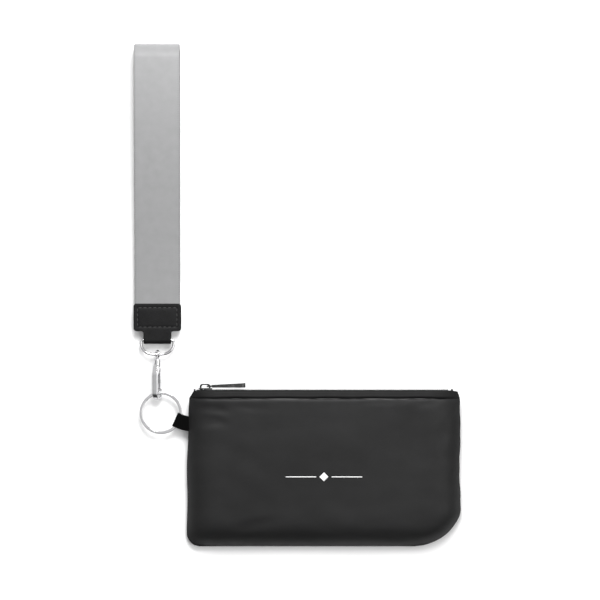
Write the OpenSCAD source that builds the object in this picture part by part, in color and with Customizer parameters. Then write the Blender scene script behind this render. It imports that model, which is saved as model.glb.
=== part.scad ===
// Flat zippered pouch lying on its back, with a split ring, a swivel hook and a
// webbing wrist strap. X is across the pouch, Y runs up to the zipper, Z is up.
// The origin is the centre of the flat back that the pouch rests on.

/* [Pouch] */
// Width of the pouch from side seam to side seam
pouch_w = 180; // [150:1:210]
// Height of the pouch from the bottom seam to the ridge of the zipper
pouch_h = 103.2; // [85:0.1:125]
// Depth of the filled pouch at the zipper
pouch_d = 14.4; // [12:0.1:20]
// Thickness of the outer cloth with its backing
cloth_t = 0.7; // [0.4:0.1:1]
// Thickness of the lining
lining_t = 0.3; // [0.2:0.1:0.5]
// Size of the rounded bottom corner on the left
left_corner = 9; // [5:1:14]
// Size of the rounded bottom corner on the right, across and up
right_corner = [30, 25]; // [5:1:40]

/* [Zipper] */
// Height of the tape hump above the panel edges
tape_h = 4.2; // [3.8:0.1:5]
// Thickness of the zipper tape
tape_t = 0.6; // [0.4:0.1:0.7]
// Length of the puller from its bar to its end
puller_l = 25; // [15:1:30]

/* [Ring and hook] */
// Outer diameter of the split ring
ring_od = 28; // [26:0.5:30]
// Radial width of the split ring
ring_wire = 2; // [1.6:0.1:2.1]
// Height of the two turns of the split ring together
ring_h = 1.8; // [1.4:0.1:1.8]
// Length of the swivel hook from its bend to the top of its barrel
hook_l = 26.7; // [26:0.1:30]
// Wire diameter of the D-ring
dring_wire = 1.9; // [1.6:0.1:2]
// Width of the D-ring between the middles of its arms
dring_w = 21.6; // [21.4:0.1:24]

/* [Strap] */
// Width of the webbing
strap_w = 30; // [25:1:31]
// Thickness of the webbing
strap_t = 1.2; // [1:0.1:1.3]
// Length of the loop from the leather tab to its far end
loop_l = 170; // [120:1:220]
// Radius of the bend at the far end of the loop
bend_r = 9; // [6:0.5:12]
// Width and height of the wide part of the leather tab
tab_size = [31.2, 18.1]; // [15:0.1:34]
// Thickness of the leather
leather_t = 1.2; // [0.9:0.1:1.4]

/* [Hidden] */
$fn = 48;
eps = 0.01;

// Pouch body
y_bottom = -pouch_h / 2;
y_ridge = pouch_h / 2;
y_panel = y_ridge - 1.4 - tape_h;
panel_h = y_panel - y_bottom;
seam_z = pouch_d / 2;
seam_z_bottom = 3.2;
seam_t = 1.1;
full_at = 28;
lean_left = 1.8;
lean_right = 0.9;
right_round = 1.8;
lining_inset = 3;
rest_cut = 0.4;
net_rows = 15;
net_cols = 26;

// Zipper
tape_rows = 6;
slit = 0.4;
coil_w = 1.6;
coil_x = [-84, 83];
y_coil = y_panel + tape_h;
slider_x = [-82.2, -73.2];
slider_half = 3;
plate_y = y_coil + 1.6;
plate_t = 0.6;
bridge_x = [-81.4, -74.2];
bridge_h = 2.8;
bridge_t = 1.6;
puller_x = bridge_x[1] - 2.1;
puller_y = plate_y + plate_t + 1.1;
puller_t = 1.8;
puller_half = 2.2;
puller_lift = 1.2;

// Chain of ring, hook, D-ring and strap, in the order in which they hang
chain_z = 5;
chain_x = -109.2;
ring_x = -106.9;
ring_y = 36;
ring_r = (ring_od - ring_wire) / 2;
ribbon_turn = -24;
ribbon_w = 9.6;
ribbon_t = 0.5;
ribbon_r = 2;
ribbon_gap = 0.1;
ribbon_axis = ring_r - 0.4;
ribbon_end_x = -89.4;
hook_y = ring_y + sqrt(ring_r * ring_r - pow(chain_x - ring_x, 2));
hook_turn = -24;
hook_inner = 2.7;
hook_wire = 1.6;
hook_t = 3.6;
hook_outer = hook_inner + hook_wire;
hook_top = hook_y - hook_outer + hook_l;
barrel_r = 2.3;
barrel_l = 5.3;
barrel_y = hook_top - barrel_l;
rivet_u = -1.6;
rivet_y = barrel_y - 1.7;
rivet_r = 0.7;
lug_t = 1.6;
fork_t = 2;
lever_t = 3.4;
nose_top = hook_y + 3.9;
eye_r = 2.2;
eye_wire = 1.5;
eye_turn = 30;
eye_y = hook_top + eye_r + eye_wire / 2 + 0.3;
dring_bow = 7.5;
dring_corner = 1.6;
bar_y = eye_y + 9.25;
fold_r = strap_t + 0.1;
tab_y = bar_y + 5.9;
tab_top = tab_y + tab_size[1];
neck_w = 18.2;
stitch_l = 2.2;
stitch_w = 0.5;
stitch_t = 0.15;
stitch_inset = 3;
stitch_pitch = 3.1;
drop_l = 22;

// How full the pouch is at a distance from a seam: 0 at the seam, 1 well inside
function fullness(d) = 1 - pow(1 - min(1, max(0, d) / full_at), 4.5);

// How far a rounded corner pulls a side in, at a height above the bottom edge. It is a quarter
// of an oval when round_power is 2, and a little flatter, as a cut corner is, when it is less.
function corner(h, across, up, round_power) =
    h >= up ? 0 : across * (1 - pow(1 - pow((up - max(0, h)) / up, round_power), 1 / round_power));

// The side seams lean in slightly towards the zipper
function lean(y) = pow((y - y_bottom) / panel_h, 4);
function left_x(y, inset) =
    -pouch_w / 2 + inset + lean_left * lean(y) + corner(y - y_bottom - inset, left_corner, left_corner, 2);
function right_x(y, inset) =
    pouch_w / 2 - inset - lean_right * lean(y)
    - corner(y - y_bottom - inset, right_corner[0], right_corner[1], right_round);

// Height of the seam between the front and back panels
function mid_z(y) = seam_z_bottom + (seam_z - seam_z_bottom) * (y - y_bottom) / panel_h;

function fill_at(x, y, inset) =
    fullness(x - left_x(y, inset)) * fullness(right_x(y, inset) - x) * fullness(y - y_bottom - inset);

// The net of points that every panel is drawn on, closer together near the seams
function net_y(r, inset) = y_bottom + inset + (panel_h - inset) * pow(r / net_rows, 1.8);
function net_x(c, y, inset) =
    left_x(y, inset) + (right_x(y, inset) - left_x(y, inset)) * (1 - cos(180 * c / net_cols)) / 2;

// Distance of a cloth surface from the seam plane: front is above it, back is below it.
// edge is the distance at the seam, less is how far the surface stays inside the outer one.
function front_gap(x, y, inset, edge, less) =
    edge + (pouch_d - mid_z(y) - less - edge) * fill_at(x, y, inset);
function back_gap(x, y, inset, edge, less) =
    edge + (mid_z(y) - less - edge) * fill_at(x, y, inset);

function front_net(inset, edge, less) = [
    for (r = [0:net_rows]) let (y = net_y(r, inset)) [
        for (c = [0:net_cols]) let (x = net_x(c, y, inset))
            [x, y, mid_z(y) + front_gap(x, y, inset, edge, less)]
    ]
];
function back_net(inset, edge, less) = [
    for (r = [0:net_rows]) let (y = net_y(r, inset)) [
        for (c = [0:net_cols]) let (x = net_x(c, y, inset))
            [x, y, mid_z(y) - back_gap(x, y, inset, edge, less)]
    ]
];

// A zipper tape bends over from the panel edge to the slit, as a quarter of an oval.
// side is 1 for the front tape and -1 for the back tape.
function tape_net(side, rise, less) = [
    for (r = [0:tape_rows]) let (a = 90 * r / tape_rows, in = 4 * (1 - cos(a)) / 2) [
        for (c = [0:net_cols])
            let (x = net_x(c, y_panel, 0), gap = tape_gap(side, x, less))
                [x * (1 - in * sin(a) / (pouch_w / 2)), y_panel + rise * sin(a),
                 seam_z + side * (slit + (gap - slit) * cos(a))]
    ]
];
function tape_gap(side, x, less) =
    let (edge = less > 0 ? slit : seam_t)
        side > 0 ? front_gap(x, y_panel, 0, edge, less) : back_gap(x, y_panel, 0, edge, less);

// A closed wall between two nets of points, the upper one lying over the lower one
module wall(upper, lower) {
    rows = len(upper) - 1;
    cols = len(upper[0]) - 1;
    half = (rows + 1) * (cols + 1);
    function up(r, c) = r * (cols + 1) + c;
    function low(r, c) = half + up(r, c);
    function two(a, b, c, d) = [[a, b, c], [a, c, d]];
    faces = [
        for (r = [0:rows - 1], c = [0:cols - 1])
            each concat(
                two(up(r, c), up(r + 1, c), up(r + 1, c + 1), up(r, c + 1)),
                two(low(r, c), low(r, c + 1), low(r + 1, c + 1), low(r + 1, c))
            ),
        for (c = [0:cols - 1])
            each concat(
                two(low(0, c), up(0, c), up(0, c + 1), low(0, c + 1)),
                two(low(rows, c + 1), up(rows, c + 1), up(rows, c), low(rows, c))
            ),
        for (r = [0:rows - 1])
            each concat(
                two(low(r + 1, 0), up(r + 1, 0), up(r, 0), low(r, 0)),
                two(low(r, cols), up(r, cols), up(r + 1, cols), low(r + 1, cols))
            )
    ];
    polyhedron(points = concat([for (row = upper) each row], [for (row = lower) each row]), faces = faces);
}

module front_panel() {
    color("#2b2b2d")
        wall(front_net(0, seam_t, 0), front_net(0, 0, cloth_t));
}

// The back panel is cut flat where it rests on a surface
module back_panel() {
    color("#2b2b2d")
        difference() {
            wall(back_net(0, 0, cloth_t), back_net(0, seam_t, -rest_cut));
            translate([-pouch_w, -pouch_h, -5])
                cube([2 * pouch_w, 2 * pouch_h, 5]);
        }
}

module front_lining() {
    color("#3a3a3c")
        wall(
            front_net(lining_inset, lining_t + 0.05, cloth_t + 0.4),
            front_net(lining_inset, 0.05, cloth_t + lining_t + 0.4)
        );
}

module back_lining() {
    color("#3a3a3c")
        wall(
            back_net(lining_inset, 0.05, cloth_t + lining_t + 0.4),
            back_net(lining_inset, lining_t + 0.05, cloth_t + 0.4)
        );
}

module zipper_tape_front() {
    color("#1d1d1f")
        wall(tape_net(1, tape_h, 0), tape_net(1, tape_h - tape_t, tape_t));
}

module zipper_tape_back() {
    color("#1d1d1f")
        wall(tape_net(-1, tape_h - tape_t, tape_t), tape_net(-1, tape_h, 0));
}

// One half of the closed zipper coil, a rounded rail along the ridge
module coil_half(side) {
    translate([coil_x[0], y_coil, seam_z + side * (slit + coil_w / 2)])
        rotate([0, 90, 0])
            linear_extrude(coil_x[1] - coil_x[0])
                union() {
                    translate([-coil_w / 2, 0])
                        square([coil_w, 0.6]);
                    translate([0, 0.6])
                        circle(r = coil_w / 2 - eps);
                }
}

module zipper_coil_front() {
    color("#161617")
        difference() {
            coil_half(1);
            translate([coil_x[0] - 1, y_coil - 1, 0])
                cube([coil_x[1] - coil_x[0] + 2, 1, pouch_d]);
        }
}

module zipper_coil_back() {
    color("#161617")
        difference() {
            coil_half(-1);
            translate([coil_x[0] - 1, y_coil - 1, 0])
                cube([coil_x[1] - coil_x[0] + 2, 1, pouch_d]);
        }
}

// Small metal clips past the ends of the coils
module top_stops() {
    color("#2a2a2c")
        for (side = [-1, 1])
            translate([coil_x[0] - 1.3, y_coil + 0.1, seam_z + side * (slit + coil_w / 2) - coil_w / 2])
                cube([1.2, 1.4, coil_w]);
}

module bottom_stop() {
    color("#2a2a2c")
        translate([coil_x[1] + 0.1, y_coil + 0.1, seam_z - slit - coil_w])
            cube([1.6, 1.4, 2 * (slit + coil_w)]);
}

// Outline of a slider plate, wide at the back and rounded at the nose
module plate_outline(half) {
    nose = slider_x[0] + half;
    union() {
        translate([nose, 0])
            circle(r = half);
        translate([nose, -half])
            square([slider_x[1] - nose, 2 * half]);
    }
}

// A slider plate whose lower face is at height y
module slider_plate(y, t, half) {
    translate([0, y, seam_z])
        rotate([-90, 0, 0])
            linear_extrude(t)
                plate_outline(half);
}

module slider_body() {
    lip_t = 0.5;
    lip_l = 5.4;
    color("#202022")
        union() {
            slider_plate(plate_y, plate_t, slider_half);
            slider_plate(y_coil - 2, 0.7, slider_half - 0.2);
            for (side = [-1, 1])
                translate([slider_x[1] - lip_l, plate_y - 0.9, seam_z + side * (slider_half - lip_t / 2)])
                    translate([0, 0, -lip_t / 2])
                        cube([lip_l, 1, lip_t]);
            translate([slider_x[0] + 0.6, y_coil - 1.4, seam_z - 0.2])
                cube([2.4, 3.2, 0.4]);
            slider_bridge();
        }
}

// A doorway shape that stands on Y = 0 between two places along X
module arch(from, to, h, r) {
    union() {
        translate([from, -1])
            square([to - from, h - r + 1]);
        for (x = [from + r, to - r])
            translate([x, h - r])
                circle(r = r);
        translate([from + r, -1])
            square([to - from - 2 * r, h + 1]);
    }
}

// The arch over the slider that holds the puller
module slider_bridge() {
    bar = 0.9;
    foot = 1.3;
    translate([0, plate_y + plate_t - eps, seam_z - bridge_t / 2])
        linear_extrude(bridge_t)
            difference() {
                arch(bridge_x[0], bridge_x[1], bridge_h, 1.9);
                arch(bridge_x[0] + foot, bridge_x[1] - foot, bridge_h - bar, 1.2);
                translate([bridge_x[0] - 1, -2])
                    square([bridge_x[1] - bridge_x[0] + 2, 2]);
            }
}

// The puller lies along the zipper; its bar passes under the bridge
module puller() {
    arm_w = 0.9;
    eye_l = 2.9;
    end_r = puller_half;
    color("#1c1c1e")
        translate([puller_x, puller_y, seam_z])
            rotate([0, 0, puller_lift])
                union() {
                    cylinder(h = 2 * puller_half, r = 0.5, center = true);
                    for (side = [-1, 1])
                        translate([0, -0.5, side * (puller_half - arm_w / 2) - arm_w / 2])
                            cube([eye_l + 0.3, 1, arm_w]);
                    rotate([90, 0, 0])
                        linear_extrude(puller_t, center = true)
                            union() {
                                translate([eye_l, -puller_half])
                                    square([puller_l - eye_l - end_r, 2 * puller_half]);
                                translate([puller_l - end_r, 0])
                                    circle(r = end_r);
                            }
                }
}

function reversed(list) = [for (i = [len(list) - 1:-1:0]) list[i]];

// Section of the ribbon: a fold round the ring and two layers that run to the side seam
module ribbon_section() {
    run = 12;
    flat_from = 0.7 * run;
    rise = mid_z(29) - chain_z;
    function side(dist, gap) = concat(
        [[run, rise + gap], [flat_from, rise + gap]],
        [for (a = [90:15:270]) dist * [cos(a), sin(a)]],
        [[flat_from, rise - gap], [run, rise - gap]]
    );
    polygon(concat(side(ribbon_r + ribbon_t, ribbon_gap + ribbon_t), reversed(side(ribbon_r, ribbon_gap))));
}

module ribbon_loop() {
    color("#121213")
        difference() {
            translate([ring_x, ring_y, chain_z])
                rotate([0, 0, ribbon_turn])
                    translate([ribbon_axis, ribbon_w / 2, 0])
                        rotate([90, 0, 0])
                            linear_extrude(ribbon_w)
                                ribbon_section();
            translate([ribbon_end_x, 0, -5])
                cube([30, 60, 30]);
        }
}

// Two turns of flat wire with a groove between them
module split_ring() {
    groove = 0.12;
    turn_h = (ring_h - groove) / 2;
    color("#c9cacc")
        translate([ring_x, ring_y, chain_z])
            rotate_extrude($fn = 96)
                translate([ring_r, 0])
                    union() {
                        translate([-ring_wire / 2, groove / 2])
                            square([ring_wire, turn_h]);
                        translate([-ring_wire / 2, -groove / 2 - turn_h])
                            square([ring_wire, turn_h]);
                        translate([-ring_wire / 2 + 0.3, -groove])
                            square([ring_wire - 0.6, 2 * groove]);
                    }
}

// Puts a drawing of the hook, u across and y along, into place with thickness t
module hook_slab(t) {
    translate([chain_x, 0, chain_z])
        rotate([0, hook_turn, 0])
            rotate([0, -90, 0])
                linear_extrude(t, center = true)
                    children();
}

// The hook: barrel for the swivel, spine, bend and nose, and a lug for the gate
module hook_outline() {
    union() {
        polygon([
            [-1.6, barrel_y + 0.05], [-1.6, barrel_y + 1.2], [1.6, barrel_y + 2.4], [3.1, barrel_y + 0.6],
            [hook_outer, barrel_y - 4], [hook_outer, hook_y], [hook_inner, hook_y],
            [hook_inner, barrel_y - 6], [0.5, barrel_y - 2.6], [0.5, barrel_y + 0.05]
        ]);
        difference() {
            translate([0, hook_y])
                circle(r = hook_outer);
            translate([0, hook_y])
                circle(r = hook_inner);
            translate([-10, hook_y])
                square([20, 10]);
        }
        translate([-hook_outer, hook_y - eps])
            square([hook_wire, nose_top - hook_y - hook_wire / 2]);
        translate([-hook_outer + hook_wire / 2, nose_top - hook_wire / 2])
            circle(r = hook_wire / 2);
    }
}

module lug_outline() {
    union() {
        translate([rivet_u, rivet_y])
            circle(r = 1.3);
        translate([rivet_u, rivet_y - 1.3])
            square([3, 3.2]);
    }
}

module hook_body() {
    color("#c9cacc")
        difference() {
            union() {
                hook_slab(hook_t)
                    hook_outline();
                hook_slab(lug_t)
                    lug_outline();
                translate([chain_x, barrel_y, chain_z])
                    rotate([-90, 0, 0])
                        cylinder(h = barrel_l, r = barrel_r);
            }
            translate([chain_x, barrel_y + 2.6, chain_z])
                rotate([-90, 0, 0])
                    cylinder(h = 1.8, r = 1.6);
            translate([chain_x, barrel_y + 3, chain_z])
                rotate([-90, 0, 0])
                    cylinder(h = barrel_l, r = 1.1);
            hook_slab(hook_t + 1)
                translate([rivet_u, rivet_y])
                    circle(r = rivet_r);
        }
}

module lever_outline() {
    union() {
        translate([rivet_u, rivet_y])
            circle(r = 1.4);
        polygon([
            [-2.9, rivet_y + 0.3], [-4.1, rivet_y - 3.5], [-hook_outer, rivet_y - 8.5],
            [-3.6, nose_top + 0.3],
            [-hook_inner + 0.15, nose_top + 0.3], [-hook_inner + 0.15, nose_top - 1.3],
            [-1.3, nose_top - 1.3], [-1.3, rivet_y - 8.5], [-0.4, rivet_y - 1]
        ]);
    }
}

// The gate lever straddles the lug of the hook
module gate_lever() {
    color("#bfc0c3")
        difference() {
            hook_slab(lever_t)
                lever_outline();
            hook_slab(fork_t)
                translate([-3.1, rivet_y - 3.8])
                    square([6, 8]);
            hook_slab(lever_t + 1)
                translate([rivet_u, rivet_y])
                    circle(r = rivet_r + 0.1);
        }
}

module gate_rivet() {
    color("#a9aaad")
        hook_slab(hook_t - 0.1)
            translate([rivet_u, rivet_y])
                circle(r = rivet_r);
}

// A bent strip inside the lever that presses it shut against the lug
module gate_spring() {
    color("#8f9093")
        hook_slab(fork_t - 0.4)
            polygon([
                [-2.9, rivet_y - 3.6], [-1, rivet_y - 2.6], [-0.9, rivet_y - 2.8],
                [-2.7, rivet_y - 3.75]
            ]);
}

module swivel_eye() {
    color("#c9cacc")
        union() {
            translate([chain_x, eye_y, chain_z])
                rotate([0, eye_turn, 0])
                    rotate([0, 90, 0])
                        rotate_extrude()
                            translate([eye_r, 0])
                                circle(d = eye_wire);
            translate([chain_x, barrel_y + 3.4, chain_z])
                rotate([-90, 0, 0])
                    cylinder(h = eye_y - eye_r - barrel_y - 3.4, r = 0.9);
            translate([chain_x, barrel_y + 2.9, chain_z])
                rotate([-90, 0, 0])
                    cylinder(h = 1.2, r = 1.4);
        }
}

// A quarter turn of round wire about a centre at x, y
module wire_turn(x, y, r, start) {
    translate([x, y, 0])
        rotate([0, 0, start])
            rotate_extrude(angle = 90)
                translate([r, 0])
                    circle(d = dring_wire);
}

// A straight piece of round wire from one point to another along X or Y
module wire_bar(x, y, length, upright) {
    translate([x, y, 0])
        rotate(upright ? [-90, 0, 0] : [0, 90, 0])
            cylinder(h = length, d = dring_wire);
}

module d_ring() {
    arm = dring_w / 2;
    bow_y = eye_y + dring_bow;
    corner_y = bar_y - dring_corner;
    color("#c9cacc")
        translate([chain_x, 0, chain_z])
            union() {
                wire_bar(-arm + dring_corner, bar_y, dring_w - 2 * dring_corner, false);
                wire_bar(-arm + dring_bow, eye_y, dring_w - 2 * dring_bow, false);
                for (side = [-1, 1])
                    wire_bar(side * arm, bow_y, corner_y - bow_y, true);
                wire_turn(arm - dring_corner, corner_y, dring_corner, 0);
                wire_turn(-arm + dring_corner, corner_y, dring_corner, 90);
                wire_turn(-arm + dring_bow, bow_y, dring_bow, 180);
                wire_turn(arm - dring_bow, bow_y, dring_bow, 270);
            }
}

// Flat outline of the tab: a narrow neck that widens to a rounded rectangle
module tab_outline() {
    r = 2;
    fillet = 1.4;
    difference() {
        union() {
            for (x = [-1, 1], y = [r, tab_size[1] - r])
                translate([x * (tab_size[0] / 2 - r), tab_y + y])
                    circle(r = r);
            translate([-tab_size[0] / 2 + r, tab_y])
                square([tab_size[0] - 2 * r, tab_size[1]]);
            translate([-tab_size[0] / 2, tab_y + r])
                square([tab_size[0], tab_size[1] - 2 * r]);
            translate([-neck_w / 2, bar_y - 5])
                square([neck_w, 12]);
            for (x = [-1, 1])
                translate([x * (neck_w / 2 + fillet / 2) - fillet / 2, tab_y - fillet])
                    square([fillet, fillet + 0.5]);
        }
        for (x = [-1, 1])
            translate([x * (neck_w / 2 + fillet), tab_y - fillet])
                circle(r = fillet);
    }
}

// Side view of the folded leather
module tab_section() {
    outer = fold_r + leather_t;
    difference() {
        union() {
            translate([bar_y, 0])
                circle(r = outer);
            translate([bar_y, -outer])
                square([tab_top - bar_y, 2 * outer]);
        }
        translate([bar_y, 0])
            circle(r = fold_r);
        translate([bar_y, -fold_r])
            square([tab_top, 2 * fold_r]);
    }
}

module leather_tab() {
    color("#2a2a2b")
        translate([chain_x, 0, chain_z])
            intersection() {
                translate([-20, 0, 0])
                    rotate([90, 0, 90])
                        linear_extrude(40)
                            tab_section();
                translate([0, 0, -10])
                    linear_extrude(20)
                        tab_outline();
            }
}

// Stitches in a rectangle on both faces of the tab
module tab_stitching() {
    across = tab_size[0] - 2 * stitch_inset;
    along = tab_size[1] - 2 * stitch_inset;
    n_across = floor(across / stitch_pitch);
    n_along = floor(along / stitch_pitch);
    face = fold_r + leather_t;
    color("#3c3c3e")
        for (z = [chain_z - face - stitch_t, chain_z + face]) {
            for (i = [0:n_across - 1], y = [0, along])
                translate([chain_x - across / 2 + (i + 0.5) * across / n_across - stitch_l / 2,
                           tab_y + stitch_inset + y - stitch_w / 2, z])
                    cube([stitch_l, stitch_w, stitch_t]);
            for (i = [0:n_along - 1], x = [-across / 2, across / 2])
                translate([chain_x + x - stitch_w / 2,
                           tab_y + stitch_inset + (i + 0.5) * along / n_along - stitch_l / 2, z])
                    cube([stitch_w, stitch_l, stitch_t]);
        }
}

// Middle line of the webbing, from the lower end in the tab round the loop to the upper end
strap_start = tab_y + 1.6;
bend_y = tab_top + loop_l - bend_r - strap_t / 2;
end_gap = strap_t / 2 + 0.05;
floor_z = strap_t / 2;
function ease(s) = (1 - cos(180 * s)) / 2;
strap_line = concat(
    [[strap_start, chain_z - end_gap]],
    [for (i = [0:12]) [tab_top + drop_l * i / 12,
                       chain_z - end_gap + (floor_z - chain_z + end_gap) * ease(i / 12)]],
    [for (i = [0:24]) [bend_y + bend_r * sin(180 * i / 24), floor_z + bend_r * (1 - cos(180 * i / 24))]],
    [for (i = [1:24]) [bend_y + (tab_top - bend_y) * i / 24,
                       floor_z + 2 * bend_r + (chain_z + end_gap - floor_z - 2 * bend_r) * ease(i / 24)]],
    [[strap_start, chain_z + end_gap]]
);

// Direction of the line at a point, and the points at a distance beside it
function along(line, i) =
    let (d = line[min(i + 1, len(line) - 1)] - line[max(i - 1, 0)]) d / norm(d);
function beside(line, dist) = [
    for (i = [0:len(line) - 1]) let (d = along(line, i)) line[i] + dist * [-d[1], d[0]]
];

module wrist_strap() {
    color("#b9bbbd")
        translate([chain_x - strap_w / 2, 0, 0])
            rotate([90, 0, 90])
                linear_extrude(strap_w)
                    polygon(concat(
                        beside(strap_line, strap_t / 2),
                        reversed(beside(strap_line, -strap_t / 2))
                    ));
}

front_panel();
back_panel();
front_lining();
back_lining();
zipper_tape_front();
zipper_tape_back();
zipper_coil_front();
zipper_coil_back();
top_stops();
bottom_stop();
slider_body();
puller();
ribbon_loop();
split_ring();
hook_body();
gate_lever();
gate_rivet();
gate_spring();
swivel_eye();
d_ring();
leather_tab();
tab_stitching();
wrist_strap();
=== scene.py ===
"""Looks of a flat zippered pouch with a split ring, a swivel hook and a webbing wrist strap.

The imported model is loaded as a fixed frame, and every piece made here rides on one of its bodies.
"""

import math

import bmesh
import bpy
from mathutils import Matrix, Vector, noise


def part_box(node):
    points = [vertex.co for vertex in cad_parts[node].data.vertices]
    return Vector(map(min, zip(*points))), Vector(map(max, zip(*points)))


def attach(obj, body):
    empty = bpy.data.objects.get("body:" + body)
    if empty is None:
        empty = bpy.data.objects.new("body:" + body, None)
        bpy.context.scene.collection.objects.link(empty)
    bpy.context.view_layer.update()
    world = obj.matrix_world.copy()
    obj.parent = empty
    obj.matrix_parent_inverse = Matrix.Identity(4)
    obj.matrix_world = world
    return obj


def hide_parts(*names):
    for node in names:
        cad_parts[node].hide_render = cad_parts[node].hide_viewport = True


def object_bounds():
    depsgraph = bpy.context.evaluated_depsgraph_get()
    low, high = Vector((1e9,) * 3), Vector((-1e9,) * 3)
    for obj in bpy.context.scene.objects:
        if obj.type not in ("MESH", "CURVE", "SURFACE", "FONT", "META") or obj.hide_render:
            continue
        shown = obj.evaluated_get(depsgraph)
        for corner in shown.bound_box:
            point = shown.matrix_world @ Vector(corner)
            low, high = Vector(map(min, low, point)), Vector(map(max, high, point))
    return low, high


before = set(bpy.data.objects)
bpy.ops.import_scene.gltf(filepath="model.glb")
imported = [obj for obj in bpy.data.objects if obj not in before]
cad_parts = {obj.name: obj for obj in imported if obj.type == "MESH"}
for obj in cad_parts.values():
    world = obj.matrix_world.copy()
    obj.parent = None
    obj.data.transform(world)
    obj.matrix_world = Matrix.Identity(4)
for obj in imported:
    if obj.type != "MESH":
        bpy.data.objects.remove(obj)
cad_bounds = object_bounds()

bl_info = {
    "name": "Zippered pouch",
    "version": (1, 0, 0),
    "blender": (4, 5, 0),
    "location": "3D View > Sidebar > Pouch",
    "description": "Builds the cloth, zipper, leather, webbing and metal pieces of a zippered pouch",
    "category": "Object",
}

MM = 0.001
X_AXIS = Vector((1, 0, 0))
Y_AXIS = Vector((0, 1, 0))
Z_AXIS = Vector((0, 0, 1))

FRONT_LOW, FRONT_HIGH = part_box("front_panel")
TAPE_LOW, TAPE_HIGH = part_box("zipper_tape_front")
RING_LOW, RING_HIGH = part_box("split_ring")
RIBBON_LOW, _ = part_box("ribbon_loop")
EYE_LOW, EYE_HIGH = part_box("swivel_eye")
DEE_LOW, DEE_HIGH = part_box("d_ring")
TAB_LOW, TAB_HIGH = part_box("leather_tab")
STRAP_LOW, STRAP_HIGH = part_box("wrist_strap")

POUCH_TOP = FRONT_HIGH.z
POUCH_HEIGHT = FRONT_HIGH.y - FRONT_LOW.y
SEAM_Z_LOW = FRONT_LOW.z
SEAM_Z_HIGH = POUCH_TOP / 2
SEAM_STEP = 0.12 * MM  # each cloth stands off the other by this much at the seams
CLOTH_ROOM = 0.35 * MM  # the full cloth stays this far below the CAD's top
FOLD_SCALE = 1.7
TAPE_THICKNESS = 0.45 * MM
RIBBON_WIDTH = 9.6 * MM
RIBBON_THICKNESS = 0.5 * MM
WEBBING_THICKNESS = 1.2 * MM
CHAIN_X = (DEE_LOW.x + DEE_HIGH.x) / 2
CHAIN_Z = (DEE_LOW.z + DEE_HIGH.z) / 2
RING_CENTRE = (RING_LOW + RING_HIGH) / 2


class PouchLook(bpy.types.PropertyGroup):
    """Sizes and colours of the pouch"""

    cloth_colour: bpy.props.FloatVectorProperty(
        name="Cloth colour", description="Colour of the outer cloth", subtype="COLOR",
        size=4, min=0, max=1, default=(0.0092, 0.0092, 0.0094, 1),
    )
    webbing_colour: bpy.props.FloatVectorProperty(
        name="Webbing colour", description="Colour of the wrist strap", subtype="COLOR",
        size=4, min=0, max=1, default=(0.193, 0.194, 0.196, 1),
    )
    leather_colour: bpy.props.FloatVectorProperty(
        name="Leather colour", description="Colour of the leather tab", subtype="COLOR",
        size=4, min=0, max=1, default=(0.0055, 0.0055, 0.0058, 1),
    )
    metal_colour: bpy.props.FloatVectorProperty(
        name="Metal colour", description="Colour of the plated hardware", subtype="COLOR",
        size=4, min=0, max=1, default=(0.62, 0.62, 0.63, 1),
    )
    cloth_thickness: bpy.props.FloatProperty(
        name="Cloth thickness", description="Thickness of the outer cloth with its backing",
        default=0.7 * MM, min=0.3 * MM, max=1 * MM, unit="LENGTH", precision=4,
    )
    thread_pitch: bpy.props.FloatProperty(
        name="Thread pitch", description="Distance between the threads of the outer cloth",
        default=0.42 * MM, min=0.2 * MM, max=1 * MM, unit="LENGTH", precision=5,
    )
    wrinkle: bpy.props.FloatProperty(
        name="Wrinkle depth", description="Depth of the soft folds in the outer cloth",
        default=0.75 * MM, min=0, max=2 * MM, unit="LENGTH", precision=4,
    )
    coil_pitch: bpy.props.FloatProperty(
        name="Coil pitch", description="Distance between the loops of the zipper coil",
        default=1.25 * MM, min=1 * MM, max=2 * MM, unit="LENGTH", precision=4,
    )
    stitch_length: bpy.props.FloatProperty(
        name="Stitch length", description="Length of a stitch in the leather tab",
        default=2.3 * MM, min=1 * MM, max=4 * MM, unit="LENGTH", precision=4,
    )


def look():
    """The sizes and colours that the panel shows"""
    return bpy.context.scene.pouch_look


# Materials


def new_material(name):
    """A material with nodes, and its Principled shader"""
    material = bpy.data.materials.new(name)
    material.use_nodes = True
    return material, material.node_tree.nodes["Principled BSDF"]


def add_node(tree, kind, settings=None, **inputs):
    """A node with its settings and inputs filled in; i0 and i1 are its first and second inputs"""
    made = tree.nodes.new(kind)
    for key, value in (settings or {}).items():
        setattr(made, key, value)
    for key, value in inputs.items():
        socket = made.inputs[int(key[1:]) if key[0] == "i" and key[1:].isdigit() else key]
        if isinstance(value, bpy.types.NodeSocket):
            tree.links.new(value, socket)
        else:
            socket.default_value = value
    return made


def math_node(tree, operation, first, second=0.0):
    return add_node(tree, "ShaderNodeMath", {"operation": operation}, i0=first, i1=second).outputs[0]


def ripple(tree, coordinate, pitch):
    """A wave from 0 to 1 with the given distance between its crests"""
    turned = math_node(tree, "MULTIPLY", coordinate, 2 * math.pi / pitch)
    wave = math_node(tree, "SINE", turned)
    half = math_node(tree, "MULTIPLY", wave, 0.5)
    return math_node(tree, "ADD", half, 0.5)


def place_of(tree, by_uv=False):
    """The X, Y and Z outputs of the place on the object, or of its UV map"""
    source = add_node(tree, "ShaderNodeTexCoord").outputs["UV" if by_uv else "Object"]
    split = add_node(tree, "ShaderNodeSeparateXYZ", i0=source)
    return source, split.outputs


def noise_node(tree, place, scale, detail=3.0):
    return add_node(
        tree, "ShaderNodeTexNoise", Vector=place, Scale=scale, Detail=detail
    ).outputs["Fac"]


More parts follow.
